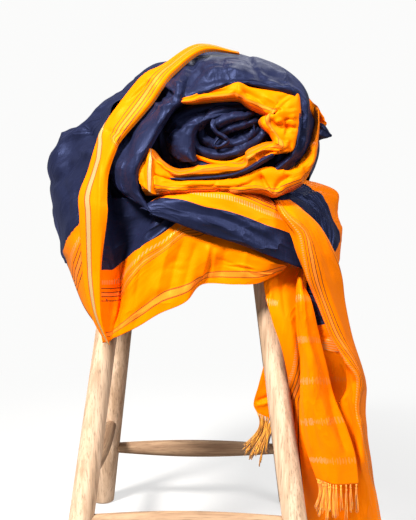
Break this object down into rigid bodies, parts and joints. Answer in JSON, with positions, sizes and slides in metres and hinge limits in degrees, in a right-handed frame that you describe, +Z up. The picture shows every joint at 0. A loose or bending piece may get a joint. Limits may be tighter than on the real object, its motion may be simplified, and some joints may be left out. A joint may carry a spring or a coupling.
{
  "type": "saree rolled on a wooden stool",
  "caption": "Silk saree with wide contrasting borders and a fringed end, loosely rolled and draped over a rustic round-legged wooden stool.",
  "frame": {"origin": "on the floor, under the middle of the whole part's footprint", "axes": "+Z up, +X to the right as seen from the front, +Y to the back; the coil's open end faces -Y"},
  "size_m": [0.6042, 0.4552, 0.9241],
  "materials": {
    "wood": "bare weathered teak, sanded smooth, matt",
    "silk_blue": "midnight blue silk with a soft satin sheen",
    "silk_saffron": "saffron silk with dark and gold lines, a soft sheen"
  },
  "bodies": {
    "root": {"seat": "wood", "leg_front_left": "wood", "leg_front_right": "wood", "leg_rear_left": "wood", "leg_rear_right": "wood", "rung_front": "wood", "rung_rear": "wood", "rung_left": "wood", "rung_right": "wood", "drape_body": "silk_blue", "rear_border": "silk_saffron", "drape_border": "silk_saffron", "outer_wrap": "silk_blue", "collar_wrap": "silk_saffron", "inner_fold": "silk_blue", "inner_coil": "silk_blue", "under_wrap": "silk_saffron", "front_swag": "silk_blue", "front_flap": "silk_saffron", "shoulder_fold": "silk_blue", "pallu_band": "silk_saffron", "pallu_panel": "silk_saffron", "pallu_strip": "silk_saffron", "pallu_back": "silk_saffron", "pallu_corner": "silk_saffron", "fringe_panel": "silk_saffron", "fringe_corner": "silk_saffron", "fringe_back": "silk_saffron", "fringe_band": "silk_saffron", "hidden_layers": "silk_blue"}
  },
  "joints": []
}
